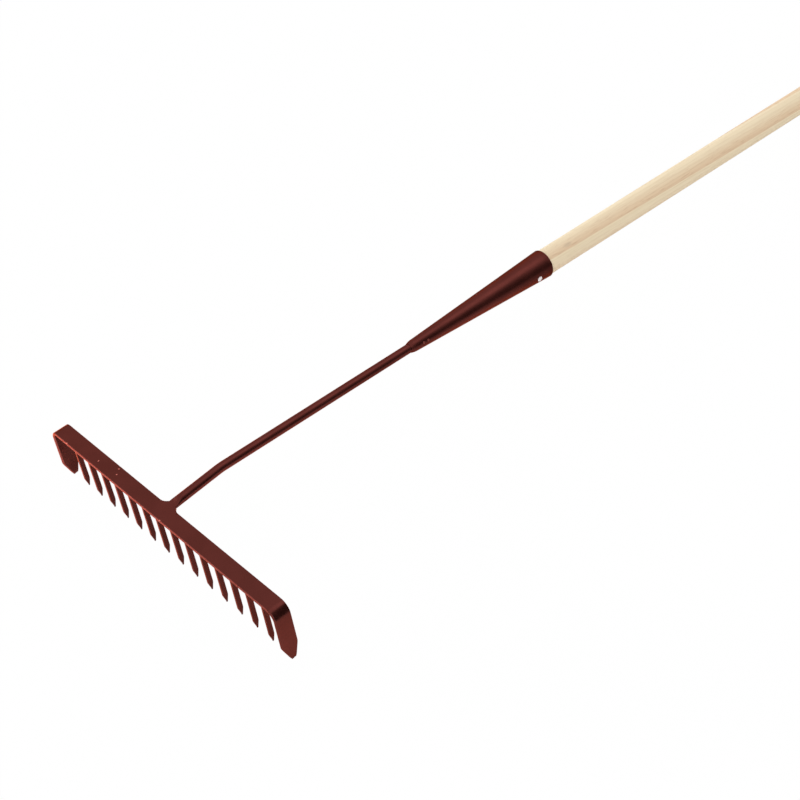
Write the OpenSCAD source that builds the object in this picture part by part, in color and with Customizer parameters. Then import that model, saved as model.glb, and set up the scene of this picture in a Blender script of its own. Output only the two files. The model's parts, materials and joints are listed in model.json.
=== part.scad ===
// Straight-shank garden rake: a flat steel head with sixteen tines, a round
// steel shank, a tapered sheet-steel socket and a long round wooden handle.
//
// Millimetres, +Z up. The rake lies on level ground, tines down, resting on
// its two end tines and on the end of the handle. +X runs along the head and
// +Y from the head to the free end of the handle.
//
// Each piece is drawn in the head's own axes first: the origin at the middle
// of the head's front top edge, the top face level. laid_down() then turns
// the whole rake about X until it rests on the ground.

/* [Head] */
// Length of the head over its two end tines
head_l = 404; // [380:1:460]
// Width of the flat head strip, front to back
strip_w = 20; // [16:0.5:30]
// Thickness of the head strip
strip_t = 4; // [3:0.5:6]
// Outer radius of the bend into each end tine
bend_r = 12.5; // [8:0.5:20]

/* [End tines] */
// Depth of the end tines' tips below the head's top face
end_tine_l = 75; // [65:1:100]
// Depth of the front shoulder, where the front bevel starts
end_front_shoulder = 53; // [40:1:60]
// Depth of the back shoulder, where the back bevel starts
end_back_shoulder = 55; // [40:1:62]
// Distance from the front edge to the start of the blunt tip
end_tip_front = 8.3; // [5:0.1:10]
// Distance from the front edge to the end of the blunt tip
end_tip_back = 14.5; // [11:0.1:15.5]
// Rise of the blunt tip from its front to its back
end_tip_rise = 1; // [0:0.1:2]

/* [Bar tines] */
// Number of bar tines between the two end tines
bar_tines = 14; // [8:2:14]
// Distance between neighbouring bar tines, centre to centre
tine_pitch = 26; // [20:0.5:27]
// Thickness of a bar tine along the head
tine_t = 3; // [2:0.5:5]
// Width of a bar tine, front to back
tine_w = 6; // [5:0.5:10]
// Depth of the bar tines' tips below the head's top face
tine_l = 72; // [60:1:74]
// Length of the bevelled point of a bar tine
tine_point = 9.3; // [6:0.1:14]
// Width of the blunt tip of a bar tine
tine_tip_w = 1; // [0.5:0.1:2]
// Leg of the two weld fillets that hold a bar tine
tine_weld_leg = 1.5; // [1:0.1:3]

/* [Shank] */
// Diameter of the round shank
shank_d = 11; // [9:0.5:11]
// Rise of the shank behind the head, in degrees
shank_rise = 5; // [0:0.5:8]
// Fall of the shank, socket and handle after the bend, in degrees
shank_fall = 2.7; // [1:0.1:6]
// Distance from the head's front edge to the bend
shank_bend_y = 90; // [70:1:120]
// Distance from the head's front edge to where the shank is fully round
shank_round_y = 36; // [32:1:40]
// Width of the shank's flattened end
shank_flat_w = 13; // [11:0.5:15]
// Width of the weld on the head strip
neck_weld_w = 32.6; // [28:0.2:40]
// Distance from the strip's back edge to the end of the weld
neck_weld_l = 4.5; // [3:0.1:7]

/* [Socket] */
// Distance along the axis from the bend to the small end of the socket
socket_start = 271; // [200:1:320]
// Length of the socket
socket_l = 216.5; // [170:0.5:240]
// Outer diameter of the small end
socket_small_d = 14.2; // [14.2:0.1:17]
// Outer diameter of the mouth
socket_mouth_d = 35.1; // [35.1:0.1:38]
// Thickness of the socket's sheet
socket_wall = 1.5; // [1.2:0.1:1.5]
// Width of the open seam along the underside
seam_w = 0.8; // [0.4:0.1:2]
// Length of shank inside the socket
shank_in_socket = 40; // [25:1:60]

/* [Fastenings] */
// Diameter of the plug welds between the socket and the shank
plug_d = 3; // [2:0.1:4]
// Distance from the small end of the socket to the first plug weld
plug_first = 17; // [5:0.5:18]
// Distance between the two plug welds on each side
plug_gap = 6.6; // [5:0.1:10]
// Height of the plug welds on the socket's sides, in degrees above level
plug_angle = 17; // [0:1:40]
// Distance from the mouth of the socket to the fixing screws
screw_from_mouth = 21.5; // [14:0.5:30]
// Turn of the fixing screws below level, in degrees
screw_drop = 10; // [0:1:20]
// Diameter of the hole for each fixing screw
screw_hole_d = 8; // [6:0.1:9]
// Diameter of the thread of a fixing screw
screw_thread_d = 3; // [2.5:0.1:4]
// Length of a fixing screw
screw_l = 12; // [8:0.5:14]

/* [Handle] */
// Diameter of the round handle
handle_d = 32; // [28:0.1:32]
// Overall length of the handle
handle_l = 1300; // [1100:10:1600]
// Length of the handle's tapered end, inside the socket
handle_taper_l = 140; // [100:1:155]

/* [Hidden] */
TINES = [for (i = [1 : bar_tines]) str("bar_tine_", i)];
$fn = 96;

overlap = 1; // how far a cutter runs past the face it cuts
strip_mid_z = -strip_t / 2; // the shank meets the strip at mid thickness
strip_end_y = strip_w; // back edge of the head strip
root_gap = 1; // gap between the strip and the shank, filled by the weld
flat_t = strip_t; // thickness of the shank's flattened end

bend_z = strip_mid_z + (shank_bend_y - strip_end_y) * tan(shank_rise);
knuckle_gain = 0.1; // the ball at the bend is this much wider than the shank

// Distances along the shank's first stretch, from the strip's back edge.
flat_end_s = neck_weld_l; // where the flattened end starts to swell
round_s = (shank_round_y - strip_end_y) / cos(shank_rise); // where it is round
first_end_s = (shank_bend_y - strip_end_y) / cos(shank_rise);

socket_end = socket_start + socket_l; // the mouth, along the axis from the bend
socket_slope = (socket_mouth_d - socket_small_d) / 2 / socket_l;
fit_gap = 0.05; // radial gap between the wooden taper and the socket
handle_start = socket_end - handle_taper_l;
handle_end = handle_start + handle_l;
dome_s = handle_end - handle_d / 2; // centre of the domed end, along the axis

// The ground touches the end tines' tips and the domed end of the handle.
dome_dy = shank_bend_y + dome_s * cos(shank_fall) - end_tip_front;
dome_dz = bend_z - dome_s * sin(shank_fall) + end_tine_l;
ground_pitch = asin(handle_d / 2 / norm([dome_dy, dome_dz])) - atan2(dome_dz, dome_dy);
rest_z = end_tine_l * cos(ground_pitch) - end_tip_front * sin(ground_pitch);
dome_y = (shank_bend_y + dome_s * cos(shank_fall)) * cos(ground_pitch)
  - (bend_z - dome_s * sin(shank_fall)) * sin(ground_pitch);
centre_y = (dome_y + handle_d / 2) / 2; // middle of the rake, front to back

steel_red = "#6b2b26";
wood_tan = "#e6d0a6";
zinc = "#d8d6d4";

// Outer radius of the socket at a distance from its small end.
function socket_r(s) = socket_small_d / 2 + s * socket_slope;

// Turns the rake about X and lifts it so that it lies on the ground.
module laid_down() {
  translate([0, -centre_y, rest_z])
    rotate([ground_pitch, 0, 0])
      children();
}

// Puts children, drawn along +Z from the origin, on the axis that the shank,
// socket and handle share after the bend. Their +X stays the head's +X.
module on_axis(s) {
  translate([0, shank_bend_y, bend_z])
    rotate([-90 - shank_fall, 0, 0])
      translate([0, 0, s])
        children();
}

// Extrudes a front-to-back outline, given as [y, z] points, along the head.
module along_head(length) {
  rotate([90, 0, 90])
    translate([0, 0, -length / 2])
      linear_extrude(length)
        children();
}

// The strip seen from the front: a level bar with a rounded corner and a leg
// at each end.
module strip_front_view() {
  half = head_l / 2;
  translate([-half + bend_r, -strip_t])
    square([head_l - 2 * bend_r, strip_t]);
  for (side = [-1, 1])
    scale([side, 1]) {
      translate([half - strip_t, -end_tine_l])
        square([strip_t, end_tine_l - bend_r]);
      intersection() {
        translate([half - bend_r, -bend_r])
          difference() {
            circle(bend_r);
            circle(bend_r - strip_t);
          }
        translate([half - bend_r, -bend_r])
          square(bend_r);
      }
    }
}

// One flat strip, bent down at both ends into the wide, pointed end tines.
module head_strip() {
  color(steel_red)
    intersection() {
      translate([0, strip_w, 0])
        rotate([90, 0, 0])
          linear_extrude(strip_w)
            strip_front_view();
      along_head(head_l + 2 * overlap)
        polygon([
          [0, 0],
          [strip_w, 0],
          [strip_w, -end_back_shoulder],
          [end_tip_back, -end_tine_l + end_tip_rise],
          [end_tip_front, -end_tine_l],
          [0, -end_front_shoulder]
        ]);
    }
}

// Middle of a bar tine along the head, counted from 1 at the -X end.
function tine_x(i) = (i - (bar_tines + 1) / 2) * tine_pitch;

// A flat bar with a bevelled point, standing under the middle of the strip.
module bar_tine(i) {
  front = (strip_w - tine_w) / 2;
  shoulder = tine_point - tine_l;
  color(steel_red)
    translate([tine_x(i), front, 0])
      along_head(tine_t)
        polygon([
          [0, -strip_t],
          [tine_w, -strip_t],
          [tine_w, shoulder],
          [(tine_w + tine_tip_w) / 2, -tine_l],
          [(tine_w - tine_tip_w) / 2, -tine_l],
          [0, shoulder]
        ]);
}

// Two small fillets under the strip for each bar tine, one on each wide face.
module tine_welds() {
  color(steel_red)
    for (i = [1 : bar_tines], side = [-1, 1])
      translate([tine_x(i) + side * tine_t / 2, (strip_w + tine_w) / 2, -strip_t])
        rotate([90, 0, 0])
          linear_extrude(tine_w)
            polygon([[0, 0], [side * tine_weld_leg, 0], [0, -tine_weld_leg]]);
}

// Puts children, drawn along +Z from the origin, on the axis of the shank's
// first stretch, which starts at the middle of the strip's back edge.
module on_first_axis() {
  translate([0, strip_end_y, strip_mid_z])
    rotate([shank_rise - 90, 0, 0])
      children();
}

// The first stretch of the shank: a round bar, pressed flat and a little
// wider at the head, that swells back to the full round.
module shank_first() {
  swell = (shank_d - flat_t) / 2 / (round_s - flat_end_s);
  wedge_end = round_s + flat_end_s;
  wedge_half = flat_t / 2 + swell * (wedge_end - flat_end_s);
  on_first_axis()
    intersection() {
      rotate_extrude()
        polygon([
          [0, root_gap],
          [shank_flat_w / 2, root_gap],
          [shank_flat_w / 2, flat_end_s],
          [shank_d / 2, round_s],
          [shank_d / 2, first_end_s],
          [0, first_end_s]
        ]);
      along_head(2 * shank_flat_w)
        polygon([
          [-flat_t / 2, 0],
          [flat_t / 2, 0],
          [flat_t / 2, flat_end_s],
          [wedge_half, wedge_end],
          [wedge_half, first_end_s + overlap],
          [-wedge_half, first_end_s + overlap],
          [-wedge_half, wedge_end],
          [-flat_t / 2, flat_end_s]
        ]);
    }
}

// A round bar, flattened at the head, bent once and pushed into the socket.
module shank() {
  color(steel_red) {
    shank_first();
    on_axis(0) {
      sphere(d = shank_d + knuckle_gain);
      cylinder(h = socket_start + shank_in_socket, d = shank_d);
    }
  }
}

// The weld metal between the strip's back edge and the shank, drawn out into
// a hollow-sided fillet on each side.
module neck_weld() {
  half = neck_weld_w / 2;
  run = half - shank_flat_w / 2;
  hollow_r = (run * run + neck_weld_l * neck_weld_l) / (2 * neck_weld_l);
  color(steel_red)
    difference() {
      translate([0, 0, -strip_t])
        linear_extrude(strip_t)
          difference() {
            translate([-half, strip_end_y])
              square([neck_weld_w, neck_weld_l]);
            for (side = [-1, 1])
              translate([side * half, strip_end_y + hollow_r])
                circle(hollow_r);
          }
      shank_first();
    }
}

// Sheet rolled into a long cone, with its open seam underneath, two holes
// for the fixing screws near the mouth and four for the plug welds.
module socket() {
  color(steel_red)
    on_axis(socket_start)
      difference() {
        rotate_extrude()
          polygon([
            [socket_r(0) - socket_wall, 0],
            [socket_r(0), 0],
            [socket_r(socket_l), socket_l],
            [socket_r(socket_l) - socket_wall, socket_l]
          ]);
        translate([-seam_w / 2, 0, -overlap])
          cube([seam_w, socket_mouth_d, socket_l + 2 * overlap]);
        translate([0, 0, socket_l - screw_from_mouth])
          for (side = [-1, 1])
            on_screw_axis(side)
              cylinder(h = socket_mouth_d, d = screw_hole_d);
        for (k = [0, 1], side = [-1, 1])
          plug_cutter(k, side);
      }
}

// Puts children, drawn along +Z from the socket's axis, on the line of the
// fixing screw at that side.
module on_screw_axis(side) {
  rotate([0, 0, side * screw_drop])
    rotate([0, side * 90, 0])
      children();
}

// A round bar that stands out from the socket's axis at one plug weld.
module plug_cutter(k, side) {
  translate([0, 0, plug_first + k * plug_gap])
    rotate([0, 0, -side * plug_angle])
      rotate([0, side * 90, 0])
        cylinder(h = socket_small_d, d = plug_d);
}

// Weld metal that fills the four small holes and joins socket and shank.
module plug_welds() {
  color(steel_red)
    on_axis(socket_start)
      for (k = [0, 1], side = [-1, 1])
        intersection() {
          plug_cutter(k, side);
          difference() {
            cylinder(h = socket_l, r1 = socket_r(0), r2 = socket_r(socket_l));
            cylinder(h = socket_l, d = shank_d);
          }
        }
}

// Round ash pole: a long taper that fills the socket and a domed free end.
module handle() {
  taper_in = socket_l - handle_taper_l;
  inner_r = socket_r(taper_in) - socket_wall - fit_gap;
  mouth_r = socket_r(socket_l) - socket_wall - fit_gap;
  shoulder = (handle_d / 2 - mouth_r) / socket_slope;
  color(wood_tan)
    on_axis(handle_start)
      difference() {
        union() {
          rotate_extrude()
            polygon([
              [0, 0],
              [inner_r, 0],
              [handle_d / 2, handle_taper_l + shoulder],
              [handle_d / 2, handle_l - handle_d / 2],
              [0, handle_l - handle_d / 2]
            ]);
          translate([0, 0, handle_l - handle_d / 2])
            sphere(d = handle_d);
        }
        for (side = [-1, 1])
          translate([0, 0, handle_taper_l - screw_from_mouth])
            on_screw_axis(side)
              translate([0, 0, socket_r(socket_l - screw_from_mouth) - screw_l])
                cylinder(h = screw_l + overlap, d = screw_thread_d);
      }
}

// Two screws through the sides of the socket into the wood. Each head sits
// in its hole, flush with the socket.
module fixing_screws() {
  s = socket_l - screw_from_mouth;
  color(zinc)
    on_axis(socket_start + s)
      for (side = [-1, 1])
        on_screw_axis(side) {
          translate([0, 0, socket_r(s) - screw_l])
            cylinder(h = screw_l - socket_wall, d = screw_thread_d);
          translate([0, 0, socket_r(s) - socket_wall])
            cylinder(h = socket_wall, d = screw_hole_d);
        }
}

laid_down() head_strip();
for (i = [1 : bar_tines])
  laid_down() bar_tine(i);
laid_down() tine_welds();
laid_down() shank();
laid_down() neck_weld();
laid_down() socket();
laid_down() plug_welds();
laid_down() handle();
laid_down() fixing_screws();
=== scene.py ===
"""The looks of a straight-shank garden rake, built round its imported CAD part.

Every piece is made in the head's own axes, in millimetres: the origin at the middle of the
strip's front top edge, X along the head, Y towards the handle, Z up from the top face.
to_row() then puts it in the row frame, in metres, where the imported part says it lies.
"""

import json
import math
import random

import bpy
from mathutils import Matrix, Vector, noise


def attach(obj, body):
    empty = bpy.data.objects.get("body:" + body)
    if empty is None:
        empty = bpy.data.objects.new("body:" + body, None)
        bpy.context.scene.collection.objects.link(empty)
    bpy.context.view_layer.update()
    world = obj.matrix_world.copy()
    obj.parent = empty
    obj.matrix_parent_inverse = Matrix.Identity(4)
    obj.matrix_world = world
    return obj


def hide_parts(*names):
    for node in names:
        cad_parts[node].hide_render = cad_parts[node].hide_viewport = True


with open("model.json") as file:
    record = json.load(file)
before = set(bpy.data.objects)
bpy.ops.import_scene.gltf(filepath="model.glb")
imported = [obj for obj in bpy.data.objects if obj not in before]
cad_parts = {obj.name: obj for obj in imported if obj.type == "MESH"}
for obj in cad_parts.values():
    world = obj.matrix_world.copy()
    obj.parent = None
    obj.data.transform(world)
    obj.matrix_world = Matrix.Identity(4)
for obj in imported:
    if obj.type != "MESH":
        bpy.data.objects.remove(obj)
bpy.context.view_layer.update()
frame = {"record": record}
MM = 0.001

# ---------------------------------------------------------------- driving dimensions, mm
HALF_HEAD = 202
STRIP_W = 20
STRIP_T = 4
BEND_R = 12.5
END_TINE_L = 75
END_FRONT_SHOULDER = 53
END_BACK_SHOULDER = 55
END_TIP_FRONT = 8.3
END_TIP_BACK = 14.5
END_TIP_RISE = 1

BAR_TINES = 14
TINE_PITCH = 26
TINE_T = 3
TINE_W = 6
TINE_L = 72
TINE_POINT = 9.3
TINE_TIP_W = 1
TINE_WELD_LEG = 1.5

SHANK_D = 11
SHANK_RISE = math.radians(5)
SHANK_FALL = math.radians(2.7)
SHANK_BEND_Y = 90
SHANK_BEND_R = 60
SHANK_ROUND_Y = 36
SHANK_FLAT_W = 13
NECK_WELD_W = 32.6
NECK_WELD_L = 4.5

SOCKET_START = 271
SOCKET_L = 216.5
SOCKET_SMALL_R = 7.1
SOCKET_MOUTH_R = 17.55
SOCKET_WALL = 1.5
SEAM_W = 0.8
PLUG_R = 1.5
PLUG_PLACES = (17, 23.6)
PLUG_ANGLE = math.radians(17)
SCREW_FROM_MOUTH = 21.5
SCREW_DROP = math.radians(10)
SCREW_HOLE_R = 4
SCREW_L = 12
SCREW_THREAD_R = 1.5
SCREW_SHIFT = 0.4
COUNTERBORE = 4.5

HANDLE_R = 16
HANDLE_L = 1300
HANDLE_TAPER_L = 140
FIT_GAP = 0.05

# ---------------------------------------------------------------- axes
mounts = {m["name"]: m for m in frame["record"]["mounts"]}
top_face = mounts["head_top"]
ALONG = Vector((1, 0, 0))
DOWN = (0, 0, -1)
UP = Vector(top_face["axis"]).normalized()
BACK = UP.cross(ALONG).normalized()
face_point = Vector(top_face["pos_m"])
ORIGIN = face_point - ALONG * face_point.x - BACK * (STRIP_W / 2 * MM)
HEAD_TURN = Matrix((ALONG, BACK, UP)).transposed()
TO_ROW = Matrix.Translation(ORIGIN) @ HEAD_TURN.to_4x4() @ Matrix.Scale(MM, 4)


def to_row(point):
    """A point in the head's axes, in mm, as a point in the row frame, in metres."""
    return TO_ROW @ Vector(point)


class Axis:
    """A straight stretch of shank: points at a distance along it, and its own directions."""

    def __init__(self, start, angle):
        self.start = Vector(start)
        self.along = Vector((0, math.cos(angle), math.sin(angle)))
        self.up = Vector((0, -math.sin(angle), math.cos(angle)))

    def at(self, distance, side=0.0, up=0.0):
        return self.start + self.along * distance + ALONG * side + self.up * up


FIRST = Axis((0, STRIP_W, -STRIP_T / 2), SHANK_RISE)
FIRST_L = (SHANK_BEND_Y - STRIP_W) / math.cos(SHANK_RISE)
MAIN = Axis(FIRST.at(FIRST_L), -SHANK_FALL)
SOCKET_END = SOCKET_START + SOCKET_L
SOCKET_SLOPE = (SOCKET_MOUTH_R - SOCKET_SMALL_R) / SOCKET_L


def socket_r(distance):
    """Outer radius of the socket at a distance from its small end."""
    return SOCKET_SMALL_R + distance * SOCKET_SLOPE


# ---------------------------------------------------------------- camera
CAMERA_AIM = (65.16, 290.09, 0)
CAMERA_DISTANCE = 1.88448
CAMERA_AZIMUTH = math.radians(54.604)
CAMERA_ELEVATION = math.radians(41.869)
CAMERA_ROLL = math.radians(-9.687)
CAMERA_LENS = 77.43


def make_camera():
    """A camera that stands in the head's own axes, so a new ground pitch never reframes it."""
    level = math.cos(CAMERA_ELEVATION)
    forward = Vector((
        -math.sin(CAMERA_AZIMUTH) * level,
        math.cos(CAMERA_AZIMUTH) * level,
        -math.sin(CAMERA_ELEVATION),
    ))
    flat_right = forward.cross(Vector((0, 0, 1))).normalized()
    flat_up = flat_right.cross(forward)
    right = flat_right * math.cos(CAMERA_ROLL) + flat_up * math.sin(CAMERA_ROLL)
    up = right.cross(forward)
    camera = bpy.data.objects.new("camera", bpy.data.cameras.new("camera"))
    bpy.context.scene.collection.objects.link(camera)
    stand = Vector(CAMERA_AIM) - forward * (CAMERA_DISTANCE / MM)
    turned = HEAD_TURN @ Matrix((right, up, -forward)).transposed()
    camera.matrix_world = Matrix.Translation(to_row(stand)) @ turned.to_4x4()
    camera.data.lens = CAMERA_LENS
    camera.data.sensor_width = 36
    camera.data.clip_end = 100
    bpy.context.scene.camera = camera


# ---------------------------------------------------------------- node helpers
class Nodes:
    """A short way to write a material's nodes."""

    def __init__(self, name):
        self.material = bpy.data.materials.new(name)
        self.material.use_nodes = True
        self.tree = self.material.node_tree
        self.shader = self.tree.nodes["Principled BSDF"]
        self.place = self.add("ShaderNodeTexCoord").outputs["Object"]

    def add(self, kind, **inputs):
        node = self.tree.nodes.new(kind)
        for key, value in inputs.items():
            self.put(node.inputs[key], value)
        return node

    def put(self, socket, value):
        if isinstance(value, bpy.types.NodeSocket):
            self.tree.links.new(value, socket)
        else:
            socket.default_value = value

    def math(self, operation, a, b=0.0, c=0.0):
        node = self.tree.nodes.new("ShaderNodeMath")
        node.operation = operation
        for socket, value in zip(node.inputs, (a, b, c)):
            self.put(socket, value)
        return node.outputs[0]

    def noise(self, place, scale, detail=2.0, roughness=0.5):
        node = self.add("ShaderNodeTexNoise", Vector=place, Scale=scale, Detail=detail)
        node.inputs["Roughness"].default_value = roughness
        return node.outputs["Fac"]

    def stretch(self, place, factors):
        node = self.tree.nodes.new("ShaderNodeMapping")
        self.put(node.inputs["Vector"], place)
        node.inputs["Scale"].default_value = factors
        return node.outputs["Vector"]

    def reach(self, place, point):
        """How far a place is from a point, in metres."""
        node = self.add("ShaderNodeVectorMath")
        node.operation = "DISTANCE"
        self.put(node.inputs[0], place)
        node.inputs[1].default_value = point
        return node.outputs["Value"]

    def fade(self, value, low, high, to_low=0.0, to_high=1.0):
        """value, taken smoothly from low..high to to_low..to_high."""
        node = self.add("ShaderNodeMapRange")
        node.interpolation_type = "SMOOTHSTEP"
        numbers = (value, low, high, to_low, to_high)
        for key, number in zip(("Value", "From Min", "From Max", "To Min", "To Max"), numbers):
            self.put(node.inputs[key], number)
        return node.outputs["Result"]

    def mix(self, share, a, b):
        node = self.tree.nodes.new("ShaderNodeMix")
        node.data_type = "RGBA"
        sockets = [s for s in node.inputs if s.enabled]
        for socket, value in zip(sockets, (share, a, b)):
            self.put(socket, value)
        return [s for s in node.outputs if s.enabled][0]

    def bump(self, height, distance, strength=1.0, under=None):
        node = self.add("ShaderNodeBump", Height=height, Distance=distance, Strength=strength)
        if under is not None:
            self.put(node.inputs["Normal"], under)
        return node.outputs["Normal"]

    def finish(self, **inputs):
        for key, value in inputs.items():
            self.put(self.shader.inputs[key.replace("_", " ")], value)
        return self.material


def colour(red, green, blue):
    """An sRGB colour, 0 to 255, as linear RGBA."""
    def linear(value):
        share = value / 255
        return share / 12.92 if share <= 0.04045 else ((share + 0.055) / 1.055) ** 2.4
    return (linear(red), linear(green), linear(blue), 1)


# ---------------------------------------------------------------- materials
def red_enamel():
    """Baked dark red enamel: a metallic sheen, soft clouds, orange peel, and a painted highlight that
    makes the nibs paler where they would glint.
    """
    n = Nodes("red_enamel")
    clouds = n.fade(n.noise(n.place, 24, 3), 0.35, 0.65)
    specks = n.fade(n.noise(n.place, 900, 2), 0.45, 0.75)
    base = n.mix(clouds, colour(100, 48, 43), colour(94, 45, 40))
    base = n.mix(n.math("MULTIPLY", specks, 0.3), base, colour(112, 58, 50))
    # Painted highlight: the points marked as nibs are mixed towards a pale red, which stands in for the
    # glints on paint nibs and weld plugs.
    nib_glint = n.add("ShaderNodeAttribute")
    nib_glint.attribute_name = "nib_glint"
    base = n.mix(nib_glint.outputs["Fac"], base, colour(205, 120, 108))
    roughness = n.fade(n.noise(n.place, 60, 3), 0.3, 0.7, 0.27, 0.36)
    waves = n.bump(n.noise(n.place, 30, 1), 0.0006, 0.3)
    peel = n.bump(n.noise(n.place, 420, 2), 0.00012, 0.35, waves)
    return n.finish(
        Base_Color=base,
        Metallic=0.95,
        Roughness=roughness,
        Specular_Tint=(0.85, 0.44, 0.38, 1),
        Normal=peel,
    )


# A growth ring's lean, its drift per length of handle and its width, and the middle of a
# stain. Lengths and places are in the handle's own axes, in metres.
RING_LEAN = math.radians(50)
RING_DRIFT = 0.0185
RING_W = 0.022
STAIN = (0.0085, -0.0135, 0.174)
STAIN_STRETCH = 0.4


def ash_wood():
    """Pale ash, read in the handle's own axes: X across, Y down, Z along, in metres."""
    n = Nodes("ash_wood")
    across, down, along = n.add("ShaderNodeSeparateXYZ", Vector=n.place).outputs
    fibre = n.noise(n.stretch(n.place, (1, 1, 0.02)), 620, 3, 0.6)
    flecks = n.noise(n.stretch(n.place, (1, 1, 0.07)), 900, 2)
    broad = n.noise(n.stretch(n.place, (1, 1, 0.05)), 130, 2)
    # One wide growth ring ends along the handle's right side, and runs slowly round it.
    depth = n.math("MULTIPLY", down, math.sin(RING_LEAN))
    depth = n.math("MULTIPLY_ADD", across, math.cos(RING_LEAN), depth)
    from_mouth = n.math("SUBTRACT", along, HANDLE_TAPER_L * MM)
    depth = n.math("SUBTRACT", depth, n.math("MULTIPLY", from_mouth, RING_DRIFT))
    wander = n.math("MULTIPLY", n.math("SUBTRACT", broad, 0.5), 0.0012)
    ring = n.math("DIVIDE", n.math("ADD", depth, wander), RING_W)
    year = n.math("FRACT", n.math("ADD", ring, 10))
    feather = n.math("MULTIPLY", n.math("SUBTRACT", flecks, 0.5), n.math("MULTIPLY", year, 0.35))
    late = n.fade(n.math("ADD", year, feather), 0.2, 1.05)
    base = n.mix(late, colour(244, 226, 193), colour(233, 203, 168))
    strokes = n.math("MULTIPLY", n.fade(flecks, 0.55, 0.72), n.fade(year, 0.3, 1.0, 0.12, 0.5))
    base = n.mix(strokes, base, colour(205, 168, 131))
    lines = n.math("FRACT", n.math("MULTIPLY_ADD", fibre, 0.7, n.math("DIVIDE", depth, 0.0043)))
    base = n.mix(n.math("MULTIPLY", n.fade(lines, 0.6, 1.0), 0.2), base, colour(216, 185, 149))
    base = n.mix(n.math("MULTIPLY", n.fade(fibre, 0.5, 0.75), 0.3), base, colour(218, 189, 152))
    stain_place = (STAIN[0], STAIN[1], STAIN[2] * STAIN_STRETCH)
    from_stain = n.reach(n.stretch(n.place, (1, 1, STAIN_STRETCH)), stain_place)
    stain = n.fade(from_stain, 0.004, 0.0006, 0.0, 0.22)
    base = n.mix(stain, base, colour(150, 130, 118))
    rough = n.fade(fibre, 0.3, 0.7, 0.5, 0.62)
    grain = n.bump(fibre, 0.00008, 0.5)
    return n.finish(Base_Color=base, Roughness=rough, Normal=grain, Specular_IOR_Level=0.3)


def zinc():
    """Bright zinc plate with faint turning marks."""
    n = Nodes("zinc")
    marks = n.noise(n.stretch(n.place, (1, 1, 8)), 1500, 2)
    base = n.mix(marks, colour(250, 240, 240), colour(255, 250, 250))
    return n.finish(Base_Color=base, Metallic=0.25, Roughness=n.fade(marks, 0.3, 0.7, 0.3, 0.4))


RED = red_enamel()
WOOD = ash_wood()
ZINC = zinc()


# ---------------------------------------------------------------- mesh helpers
def loft(rings, closed_ends=True):
    """Vertices and faces of a skin over rings of equally many points."""
    count = len(rings[0])
    points = [point for ring in rings for point in ring]
    faces = []
    for row in range(len(rings) - 1):
        near = row * count
        far = near + count
        for i in range(count):
            j = (i + 1) % count
            faces.append((near + i, near + j, far + j, far + i))
    if closed_ends:
        faces.append(tuple(reversed(range(count))))
        faces.append(tuple(range((len(rings) - 1) * count, len(rings) * count)))
    return points, faces


def joined(parts):
    """Several (points, faces) as one."""
    points, faces = [], []
    for part_points, part_faces in parts:
        start = len(points)
        points += part_points
        faces += [tuple(start + i for i in face) for face in part_faces]
    return points, faces


def new_piece(
    name, points, faces, material, *nodes,
    own_axes=TO_ROW, sharp=50, weighted=True, nibs=0, pale=1.0,
):
    """A piece that stands for those CAD nodes. Its points are in own_axes, in mm, and the last
    nibs of them belong to nibs of paint, which get a painted highlight: their colour is made that much
    paler, by pale, in place of their glints."""
    mesh = bpy.data.meshes.new(name)
    mesh.from_pydata([Vector(p) * MM for p in points], [], faces)
    # This attribute carries a painted highlight: it makes the nibs paler where their glints would be.
    if nibs:
        marked = mesh.attributes.new("nib_glint", "FLOAT", "POINT")
        marked.data.foreach_set("value", [0.0] * (len(points) - nibs) + [pale] * nibs)
    mesh.validate()
    mesh.materials.append(material)
    piece = bpy.data.objects.new(name, mesh)
    bpy.context.scene.collection.objects.link(piece)
    piece.matrix_world = own_axes @ Matrix.Scale(1 / MM, 4)
    mesh.shade_smooth()
    mesh.set_sharp_from_angle(angle=math.radians(sharp))
    if weighted:
        modifier = piece.modifiers.new("normals", "WEIGHTED_NORMAL")
        modifier.keep_sharp = True
    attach(piece, "root")
    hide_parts(*nodes)
    return piece


CORNER_STEPS = 4


def bar_ring(front, back, inward, thickness, radius_front, radius_back):
    """One rounded-rectangle section of a flat bar. front and back are the corners of its outer
    face, and inward points from that face into the metal."""
    front, back, inward = Vector(front), Vector(back), Vector(inward)
    width = (back - front).normalized()
    corners = (
        (front + (width + inward) * radius_front, -width, -inward, radius_front),
        (back + (inward - width) * radius_back, -inward, width, radius_back),
        (back - width * radius_back + inward * (thickness - radius_back), width, inward, radius_back),
        (front + width * radius_front + inward * (thickness - radius_front), inward, -width, radius_front),
    )
    ring = []
    for centre, start, end, radius in corners:
        for step in range(CORNER_STEPS + 1):
            turn = math.pi / 2 * step / CORNER_STEPS
            ring.append(centre + (start * math.cos(turn) + end * math.sin(turn)) * radius)
    return ring


def blunt_end(front, back, inward, thickness, radius, onward):
    """The last rings of a bar whose end is rounded over by radius, going onward."""
    front, back, inward, onward = Vector(front), Vector(back), Vector(inward), Vector(onward)
    width = (back - front).normalized()
    rings = []
    for step in range(1, 4):
        turn = math.pi / 2 * step / 3
        inset = radius * (1 - math.cos(turn))
        shift = onward * (radius * math.sin(turn) - radius)
        rings.append(bar_ring(
            front + width * inset + inward * inset + shift,
            back - width * inset + inward * inset + shift,
            inward, thickness - 2 * inset, radius * 0.6, radius * 0.6,
        ))
    return rings


def around(radius, count=64):
    """Points of a circle as (side, up) pairs."""
    turns = [2 * math.pi * i / count for i in range(count)]
    return [(radius * math.sin(t), radius * math.cos(t)) for t in turns]


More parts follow.
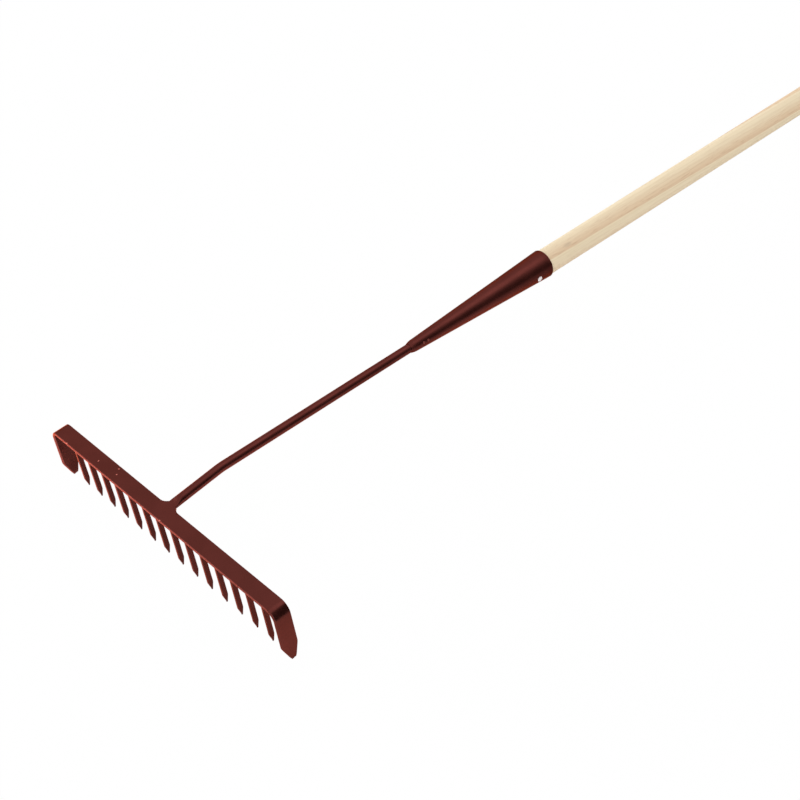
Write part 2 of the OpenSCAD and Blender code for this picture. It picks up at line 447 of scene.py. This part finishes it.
def blob(centre, radii, rows=6, count=14):
    """A small rounded lump, as paint or weld metal leaves."""
    rings = []
    for row in range(1, rows):
        tilt = math.pi * row / rows
        rings.append([
            Vector(centre) + Vector((
                radii[0] * math.sin(tilt) * math.cos(turn),
                radii[1] * math.sin(tilt) * math.sin(turn),
                radii[2] * math.cos(tilt),
            ))
            for turn in (2 * math.pi * i / count for i in range(count))
        ])
    return loft(rings)


# ---------------------------------------------------------------- the head strip
EDGE_R = 1.9
BACK_EDGE_R = 0.9
END_TINE_ROUND = 1.2
SHOULDER_LEAD = 1.5
# Nibs of paint: (x, y) of those on the top face, x of those on the front edge, and their radii.
TOP_NIBS = ((-116.2, 8.6), (-88.0, 16.5), (-82.7, 9.7))
TOP_NIB_RADII = (0.95, 0.95, 0.5)
FRONT_NIBS = (-168, 9.3)
FRONT_NIB_RADII = (1.2, 0.8, 0.5)


def strip_side():
    """Stations from the middle of the strip to the tip of the right end tine: the front
    corner, the back corner and the inward direction."""
    stations = []
    for step in range(20):
        x = (HALF_HEAD - BEND_R) * step / 20
        stations.append(((x, 0, 0), (x, STRIP_W, 0), DOWN))
    for step in range(15):
        turn = math.pi / 2 * step / 14
        x = HALF_HEAD - BEND_R + BEND_R * math.sin(turn)
        z = -BEND_R + BEND_R * math.cos(turn)
        stations.append(((x, 0, z), (x, STRIP_W, z), (-math.sin(turn), 0, -math.cos(turn))))
    for step in range(1, 9):
        z_front = -BEND_R + (BEND_R + SHOULDER_LEAD - END_FRONT_SHOULDER) * step / 8
        z_back = -BEND_R + (BEND_R + SHOULDER_LEAD - END_BACK_SHOULDER) * step / 8
        stations.append(((HALF_HEAD, 0, z_front), (HALF_HEAD, STRIP_W, z_back), (-1, 0, 0)))
    rise_front = END_TINE_L - END_FRONT_SHOULDER
    rise_back = END_TINE_L - END_TIP_RISE - END_BACK_SHOULDER
    for step in range(7):
        share = step / 6
        eased = 0.02 if step == 0 else share
        front = (HALF_HEAD, END_TIP_FRONT * eased, -END_FRONT_SHOULDER - rise_front * share)
        back_y = STRIP_W - (STRIP_W - END_TIP_BACK) * eased
        stations.append((front, (HALF_HEAD, back_y, -END_BACK_SHOULDER - rise_back * share), (-1, 0, 0)))
    return stations


def mirrored(station):
    """The same station on the left half of the strip."""
    return tuple((-vector[0], vector[1], vector[2]) for vector in station)


def build_strip():
    """The strip from tip to tip in one skin, with its nibs of paint."""
    right = strip_side()
    left = [mirrored(s) for s in right[:0:-1]]
    tip_front, tip_back, inward = right[-1]
    end_rings = blunt_end(tip_front, tip_back, inward, STRIP_T, END_TINE_ROUND, DOWN)
    start_rings = blunt_end(*mirrored(right[-1]), STRIP_T, END_TINE_ROUND, DOWN)
    body = [bar_ring(*s, STRIP_T, EDGE_R, BACK_EDGE_R) for s in left[1:] + right[:-1]]
    nibs = [blob((x, y, 0.1), TOP_NIB_RADII) for x, y in TOP_NIBS]
    nibs += [blob((x, 0.9, -0.2), FRONT_NIB_RADII) for x in FRONT_NIBS]
    skin = loft(start_rings[::-1] + body + end_rings)
    nib_points = sum(len(points) for points, _ in nibs)
    # Its nibs get the painted highlight at full strength.
    new_piece("head_strip_painted", *joined([skin] + nibs), RED, "head_strip", nibs=nib_points)


# ---------------------------------------------------------------- the bar tines
TINE_EDGE_R = 0.5
TINE_TIP_EDGE_R = 0.38
DRIP_RADII = (0.95, 0.85, 1.5)


def build_tine(index):
    """One flat bar with a bevelled point and a small bead of paint at its tip."""
    x = (index - (BAR_TINES + 1) / 2) * TINE_PITCH
    left = x - TINE_T / 2
    front = (STRIP_W - TINE_W) / 2
    back = front + TINE_W
    shoulder = TINE_POINT - TINE_L

    def section(inset, z, radius):
        return bar_ring(
            (left, front + inset, z), (left, back - inset, z), ALONG, TINE_T, radius, radius
        )

    rings = [section(0, z, TINE_EDGE_R) for z in (-STRIP_T + 0.4, -12, -30, -48, shoulder + 1.2)]
    bevel = (TINE_W - TINE_TIP_W) / 2
    for step in range(6):
        share = step / 5
        inset = bevel * (0.03 if step == 0 else share)
        radius = TINE_EDGE_R + (TINE_TIP_EDGE_R - TINE_EDGE_R) * share
        rings.append(section(inset, shoulder - TINE_POINT * share, radius))
    tip_front = (left, front + bevel, -TINE_L)
    tip_back = (left, back - bevel, -TINE_L)
    rings += blunt_end(tip_front, tip_back, ALONG, TINE_T, TINE_TIP_EDGE_R, DOWN)[1:]
    drip = blob((x, STRIP_W / 2, -TINE_L - 0.2), DRIP_RADII)
    new_piece(f"bar_tine_{index}_painted", *joined([loft(rings), drip]), RED, f"bar_tine_{index}")


def build_tine_welds():
    """Fillet beads along both wide faces of every bar tine, under the strip."""
    parts = []
    chooser = random.Random(5)
    for index in range(1, BAR_TINES + 1):
        for side in (-1, 1):
            x = (index - (BAR_TINES + 1) / 2) * TINE_PITCH + side * TINE_T / 2
            rings = []
            for step in range(25):
                y = (STRIP_W - TINE_W) / 2 - 0.5 + (TINE_W + 1) * step / 24
                ripple = 1 + 0.12 * math.sin(step * 1.9) + chooser.uniform(-0.05, 0.05)
                end = math.sin(math.pi * min(max((step + 0.6) / 25, 0.05), 0.95)) ** 0.3
                leg = (TINE_WELD_LEG + 0.3) * ripple * end
                ring = []
                for corner in range(9):
                    turn = math.pi / 2 * corner / 8
                    hollow = 1 - 0.28 * math.sin(2 * turn)
                    ring.append((
                        x + side * (leg * math.cos(turn) * hollow - 0.2),
                        y,
                        -STRIP_T - leg * math.sin(turn) * hollow + 0.2,
                    ))
                ring.append((x - side * 0.6, y, -STRIP_T + 0.6))
                rings.append(ring if side > 0 else ring[::-1])
            parts.append(loft(rings))
    new_piece("tine_weld_beads", *joined(parts), RED, "tine_welds")


# ---------------------------------------------------------------- the shank and its weld
def shank_path():
    """(centre, up, distance from the strip) along the shank, with a rounded bend."""
    turn = SHANK_RISE + SHANK_FALL
    tangent = SHANK_BEND_R * math.tan(turn / 2)
    path = []
    for step in range(31):
        distance = 0.4 + (FIRST_L - tangent - 0.4) * (step / 30) ** 1.4
        path.append((FIRST.at(distance), FIRST.up, distance))
    for step in range(1, 9):
        angle = SHANK_RISE - turn * step / 8
        arc_start = FIRST.at(FIRST_L - tangent)
        centre = arc_start - FIRST.up * SHANK_BEND_R
        up = Vector((0, -math.sin(angle), math.cos(angle)))
        path.append((centre + up * SHANK_BEND_R, up, FIRST_L))
    for step in range(1, 25):
        distance = tangent + (SOCKET_START + 30 - tangent) * step / 24
        path.append((MAIN.at(distance), MAIN.up, FIRST_L + distance))
    return path


def build_shank():
    """A round bar that was pressed flat at the head."""
    flat_end = NECK_WELD_L
    round_at = (SHANK_ROUND_Y - STRIP_W) / math.cos(SHANK_RISE)
    rings = []
    for centre, up, distance in shank_path():
        share = min(max((distance - flat_end) / (round_at - flat_end), 0), 1)
        share = share * share * (3 - 2 * share)
        half_w = (SHANK_FLAT_W + (SHANK_D - SHANK_FLAT_W) * share) / 2
        half_t = (STRIP_T + (SHANK_D - STRIP_T) * share) / 2
        power = 0.45 + 0.55 * share
        ring = []
        for i in range(48):
            turn = 2 * math.pi * i / 48
            across, high = math.sin(turn), math.cos(turn)
            ring.append(
                centre
                + ALONG * (half_w * math.copysign(abs(across) ** power, across))
                + up * (half_t * math.copysign(abs(high) ** power, high))
            )
        rings.append(ring)
    new_piece("shank_painted", *loft(rings), RED, "shank")


def neck_edge(x):
    """How far the weld reaches behind the strip's back edge, at x."""
    run = (NECK_WELD_W - SHANK_FLAT_W) / 2
    hollow_r = (run * run + NECK_WELD_L ** 2) / (2 * NECK_WELD_L)
    from_end = max(NECK_WELD_W / 2 - abs(x), 0)
    if from_end >= run:
        return NECK_WELD_L
    return hollow_r - math.sqrt(hollow_r ** 2 - from_end ** 2)


def build_neck_weld():
    """Ground weld metal, flush with the strip's top and hollow towards the shank."""
    half = NECK_WELD_W / 2 + 0.6
    rings = []
    for step in range(61):
        x = -half + 2 * half * step / 60
        reach = neck_edge(x)
        lift = 0.09 * reach
        wobble = 0.06 * noise.noise((x * 0.7, 0, 3.1))
        front = (x, STRIP_W - 2.6, 0.0)
        back = (x, STRIP_W + reach + wobble, lift)
        thick = STRIP_T + lift * 0.5
        rings.append(bar_ring(front, back, DOWN, thick, 0.05, BACK_EDGE_R))
    new_piece("neck_weld_painted", *loft(rings), RED, "neck_weld")


# ---------------------------------------------------------------- the socket
def socket_section(distance, inset, inner_inset):
    """The open ring of sheet at a distance from the small end, thinned by its two insets."""
    outer = socket_r(distance) - inset
    inner = socket_r(distance) - SOCKET_WALL + inner_inset
    steps = 120
    gap = math.asin((SEAM_W / 2 + inset) / outer)
    turns = [math.pi + gap + (2 * math.pi - 2 * gap) * i / steps for i in range(steps + 1)]

    def at(radius, turn):
        return MAIN.at(SOCKET_START + distance, radius * math.sin(turn), radius * math.cos(turn))

    edge = min(0.35, (outer - inner) / 2)
    slim = edge / outer
    ring = [at(outer - edge, turns[0]), at(outer, turns[0] + slim)]
    ring += [at(outer, t) for t in turns[1:-1]]
    ring += [at(outer, turns[-1] - slim), at(outer - edge, turns[-1]), at(inner, turns[-1])]
    ring += [at(inner, t) for t in turns[-2:0:-1]]
    ring += [at(inner, turns[0])]
    return ring


def screw_ring(side, radius, depth, count=32, shift=0.0):
    """A circle round a screw's axis, at a depth outwards from the socket's skin."""
    outward = ALONG * (side * math.cos(SCREW_DROP)) - MAIN.up * math.sin(SCREW_DROP)
    across = MAIN.along.cross(outward) * side
    out = socket_r(SOCKET_L - SCREW_FROM_MOUTH) + depth
    centre = MAIN.at(SOCKET_START + SOCKET_L - SCREW_FROM_MOUTH + shift) + outward * out - MAIN.up * shift
    turns = [2 * math.pi * i / count for i in range(count)]
    return [centre + (MAIN.along * math.cos(t) + across * math.sin(t)) * radius for t in turns]


def drill_screw_holes(piece, radius, depth):
    """Bores both screw holes into a piece, to a depth under the socket's skin."""
    for side in (-1, 1):
        points, faces = loft([screw_ring(side, radius, along, 48) for along in (-depth, 6)])
        drill = bpy.data.meshes.new("drill")
        drill.from_pydata([to_row(p) for p in points], [], faces)
        cutter = bpy.data.objects.new("drill", drill)
        bpy.context.scene.collection.objects.link(cutter)
        modifier = piece.modifiers.new("hole", "BOOLEAN")
        modifier.object = cutter
        modifier.solver = "EXACT"
        bake(piece)
        bpy.data.objects.remove(cutter)


def build_socket():
    """Sheet rolled into a cone, open along its underside, with rounded lips and two holes."""
    lip = 0.45
    places = [(0.0, 1.2, 0.0), (0.8, 0.95, 0.0), (2.2, 0.6, 0.0), (4.2, 0.22, 0.0)]
    places += [(6.5 + 5.6 * i, 0.0, 0.0) for i in range(37)]
    places += [(SOCKET_L - lip, 0.0, 0.0), (SOCKET_L - 0.13, 0.2, 0.2), (SOCKET_L, lip, lip)]
    rings = [socket_section(*place) for place in places]
    points, faces = loft(rings, closed_ends=False)
    count = len(rings[0])
    # Each end is an open ring, so it is closed by a strip of faces from outside to inside.
    for row, flip in ((0, True), (len(rings) - 1, False)):
        start = row * count
        for i in range(count // 2 - 1):
            face = (start + i, start + i + 1, start + count - 2 - i, start + count - 1 - i)
            faces.append(tuple(reversed(face)) if flip else face)
    socket = new_piece("socket_painted", points, faces, RED, "socket", sharp=60, weighted=False)
    drill_screw_holes(socket, SCREW_HOLE_R, 6)


def bake(piece):
    """Turns a piece's modifiers into its own mesh."""
    depsgraph = bpy.context.evaluated_depsgraph_get()
    mesh = bpy.data.meshes.new_from_object(piece.evaluated_get(depsgraph))
    piece.modifiers.clear()
    piece.data = mesh


def build_plug_welds():
    """Four ground-off plugs of weld metal, just proud of the socket."""
    parts = []
    for place in PLUG_PLACES:
        for side in (-1, 1):
            outward = ALONG * (side * math.cos(PLUG_ANGLE)) + MAIN.up * math.sin(PLUG_ANGLE)
            centre = MAIN.at(SOCKET_START + place) + outward * socket_r(place)
            tangent = MAIN.along.cross(outward)
            rings = []
            for inset, height in ((0, -0.7), (0, 0.0), (0.15, 0.25), (0.5, 0.42), (0.95, 0.5)):
                middle = centre + outward * height
                radius = PLUG_R - inset
                rings.append([
                    middle + (MAIN.along * math.cos(t) + tangent * math.sin(t)) * radius
                    for t in (2 * math.pi * i / 24 for i in range(24))
                ])
            parts.append(loft(rings))
    points, faces = joined(parts)
    # All their points get a weaker painted highlight, a paler red in place of the glints on the weld
    # plugs.
    new_piece("plug_weld_studs", points, faces, RED, "plug_welds", sharp=80, nibs=len(points), pale=0.35)


# ---------------------------------------------------------------- the handle and its screws
def build_handle():
    """A turned ash pole, drawn along its own Z from the point of its taper."""
    start = SOCKET_END - HANDLE_TAPER_L
    turned = Matrix((ALONG, -MAIN.up, MAIN.along)).transposed()
    own_axes = TO_ROW @ Matrix.Translation(MAIN.at(start)) @ turned.to_4x4()
    inner = socket_r(SOCKET_L - HANDLE_TAPER_L) - SOCKET_WALL - FIT_GAP
    mouth = SOCKET_MOUTH_R - SOCKET_WALL - FIT_GAP
    shoulder = HANDLE_TAPER_L + (HANDLE_R - mouth) / SOCKET_SLOPE
    profile = [(0.0, inner - 1.0), (1.0, inner)]
    profile += [(shoulder * i / 12, inner + (HANDLE_R - inner) * i / 12) for i in range(1, 13)]
    straight = HANDLE_L - HANDLE_R
    profile += [(shoulder + (straight - shoulder) * i / 60, HANDLE_R) for i in range(1, 61)]
    profile += [
        (straight + HANDLE_R * math.sin(t), HANDLE_R * math.cos(t))
        for t in (math.pi / 2 * i / 16 for i in range(1, 16))
    ]
    rings = []
    for along, radius in profile:
        ring = []
        for side, up in around(radius):
            planed = 1 + 0.004 * noise.noise((side * 0.08, up * 0.08, along * 0.006)) - 0.002
            ring.append((side * planed, -up * planed, along))
        rings.append(ring[::-1])
    handle = new_piece("handle_turned", *loft(rings), WOOD, "handle", own_axes=own_axes)
    drill_screw_holes(handle, SCREW_HOLE_R - 0.2, COUNTERBORE)


def build_screws():
    """Pan-headed wood screws, one on each side, sitting a little off the middle of their holes."""
    parts = []
    for side in (-1, 1):
        rings = [
            screw_ring(side, radius, depth, shift=SCREW_SHIFT)
            for radius, depth in (
                (SCREW_THREAD_R, -SCREW_L), (SCREW_THREAD_R, -1.0), (3.0, -0.7), (3.4, -0.4),
                (3.4, -0.1), (3.2, 0.15), (2.6, 0.35), (1.2, 0.45), (0.9, 0.25), (0.4, 0.05), (0.1, 0.03),
            )
        ]
        parts.append(loft(rings))
    new_piece("fixing_screw_pair", *joined(parts), ZINC, "fixing_screws", sharp=45)


# ---------------------------------------------------------------- floor, light and world
FLOOR_HALF = 40
FLOOR_WHITE = 0.985
FLOOR_TONE = 1.1
# The centres are in the head's axes, in mm. All other lengths here are in metres.
POOL_CENTRE = (-500, -450, 300)
POOL_STRENGTH = 0.93
POOL_FALL = -2.5
GLOW_CENTRE = (20, 500, -75)
GLOW_FULL = 0.05
GLOW_FADED = 0.14
GLOW_GAIN = 0.6
SHADE_LEVEL = 0.74
SHADE_SLOPE = 0.6
SHADE_EDGE = 0.012
SHADE_BACK = 0.09


def build_floor():
    """A white floor. In reflections it is a pool of light at the front left, which fades
    towards the back right, with a glow under the socket and the head's soft shade in it."""
    mesh = bpy.data.meshes.new("floor")
    corners = [(-FLOOR_HALF, -FLOOR_HALF, 0), (FLOOR_HALF, -FLOOR_HALF, 0)]
    corners += [(FLOOR_HALF, FLOOR_HALF, 0), (-FLOOR_HALF, FLOOR_HALF, 0)]
    mesh.from_pydata(corners, [], [(0, 1, 2, 3)])
    n = Nodes("pale_floor")
    from_pool = n.reach(n.place, to_row(POOL_CENTRE))
    pool = n.math("MULTIPLY", n.math("POWER", from_pool, POOL_FALL), POOL_STRENGTH)
    from_glow = n.reach(n.place, to_row(GLOW_CENTRE))
    glow = n.fade(from_glow, GLOW_FULL, GLOW_FADED, 1.0 + GLOW_GAIN, 1.0)
    pool = n.math("MULTIPLY", pool, glow)
    across, back, _ = n.add("ShaderNodeSeparateXYZ", Vector=n.place).outputs
    half = HALF_HEAD * MM
    inside = n.fade(n.math("ABSOLUTE", across), half - SHADE_EDGE, half, 1.0, 0.0)
    behind = n.fade(back, ORIGIN.y, ORIGIN.y + SHADE_EDGE)
    near = n.fade(back, ORIGIN.y + SHADE_BACK / 2, ORIGIN.y + SHADE_BACK, 1.0, 0.0)
    shade = n.math("MULTIPLY", inside, n.math("MULTIPLY", behind, near))
    shaded = n.math("MULTIPLY_ADD", across, SHADE_SLOPE, SHADE_LEVEL)
    mirrored_level = n.math("MULTIPLY_ADD", shade, n.math("SUBTRACT", shaded, pool), pool)
    path = n.add("ShaderNodeLightPath").outputs
    grey = n.fade(n.noise(n.place, 3, 2), 0.3, 0.7, 0.86, 0.9)
    level = n.math("MULTIPLY_ADD", path["Is Glossy Ray"], n.math("SUBTRACT", mirrored_level, grey), grey)
    lit = n.add("ShaderNodeBsdfDiffuse", Color=n.math("MULTIPLY", level, FLOOR_TONE))
    plain = n.add("ShaderNodeEmission", Color=(1, 1, 1, 1), Strength=1.0)
    share = n.math("MULTIPLY", path["Is Camera Ray"], FLOOR_WHITE)
    both = n.add("ShaderNodeMixShader", Fac=share)
    n.put(both.inputs[1], lit.outputs[0])
    n.put(both.inputs[2], plain.outputs[0])
    n.put(n.tree.nodes["Material Output"].inputs["Surface"], both.outputs[0])
    mesh.materials.append(n.material)
    floor = bpy.data.objects.new("floor", mesh)
    bpy.context.scene.collection.objects.link(floor)


FLAG_X = 330
FLAG_FROM_Y = 15
FLAG_TO_Y = 260
FLAG_BOTTOM = -70
FLAG_TOP = 270
FLAG_LEVEL = 0.07


def build_flag():
    """A dark studio flag beside the right end tine, unseen by the camera, for the bend to mirror."""
    corners = [
        (FLAG_X, FLAG_FROM_Y, FLAG_BOTTOM), (FLAG_X, FLAG_TO_Y, FLAG_BOTTOM),
        (FLAG_X, FLAG_TO_Y, FLAG_TOP), (FLAG_X, FLAG_FROM_Y, FLAG_TOP),
    ]
    mesh = bpy.data.meshes.new("flag")
    mesh.from_pydata([to_row(corner) for corner in corners], [], [(0, 1, 2, 3)])
    n = Nodes("flag_cloth")
    mesh.materials.append(n.finish(
        Base_Color=(0, 0, 0, 1),
        Specular_IOR_Level=0.0,
        Emission_Color=(1, 1, 1, 1),
        Emission_Strength=FLAG_LEVEL,
    ))
    flag = bpy.data.objects.new("flag", mesh)
    bpy.context.scene.collection.objects.link(flag)
    flag.visible_camera = False
    flag.visible_diffuse = False


SKY_LEVEL = 0.86
SOFT_LIGHTS = (
    # Towards the light, half width of its full part and of its fade in degrees, radiance.
    # A negative radiance takes light away.
    ((0.90, 0.43, 0.09), 8, 56, -0.74),
    ((0.09, 0.43, 0.90), 5, 24, 0.5),
    ((-0.80, -0.56, 0.22), 8, 24, 3.2),
    ((0.60, -0.62, 0.50), 15, 45, 0.5),
)


def build_world():
    """A pale studio: white to the eye, with soft lights and a dark back right."""
    world = bpy.data.worlds.new("studio")
    bpy.context.scene.world = world
    world.use_nodes = True
    tree = world.node_tree
    background = tree.nodes["Background"]
    place = tree.nodes.new("ShaderNodeTexCoord").outputs["Generated"]

    def run(operation, a, b=0.0):
        node = tree.nodes.new("ShaderNodeMath")
        node.operation = operation
        for socket, value in zip(node.inputs, (a, b)):
            if isinstance(value, bpy.types.NodeSocket):
                tree.links.new(value, socket)
            else:
                socket.default_value = value
        return node.outputs[0]

    total = SKY_LEVEL
    for towards, full, faded, radiance in SOFT_LIGHTS:
        dot = tree.nodes.new("ShaderNodeVectorMath")
        dot.operation = "DOT_PRODUCT"
        tree.links.new(place, dot.inputs[0])
        dot.inputs[1].default_value = Vector(towards).normalized()
        spread = tree.nodes.new("ShaderNodeMapRange")
        spread.interpolation_type = "SMOOTHSTEP"
        tree.links.new(dot.outputs["Value"], spread.inputs["Value"])
        spread.inputs["From Min"].default_value = math.cos(math.radians(faded))
        spread.inputs["From Max"].default_value = math.cos(math.radians(full))
        spread.inputs["To Max"].default_value = radiance
        total = run("ADD", spread.outputs["Result"], total)
    seen = tree.nodes.new("ShaderNodeLightPath").outputs["Is Camera Ray"]
    tree.links.new(run("MAXIMUM", total, seen), background.inputs["Strength"])
    background.inputs["Color"].default_value = (1, 1, 1, 1)


# ---------------------------------------------------------------- all of it
make_camera()
build_strip()
for tine in range(1, BAR_TINES + 1):
    build_tine(tine)
build_tine_welds()
build_shank()
build_neck_weld()
build_socket()
build_plug_welds()
build_handle()
build_screws()
build_floor()
build_flag()
build_world()
bpy.context.scene.view_settings.view_transform = "Standard"
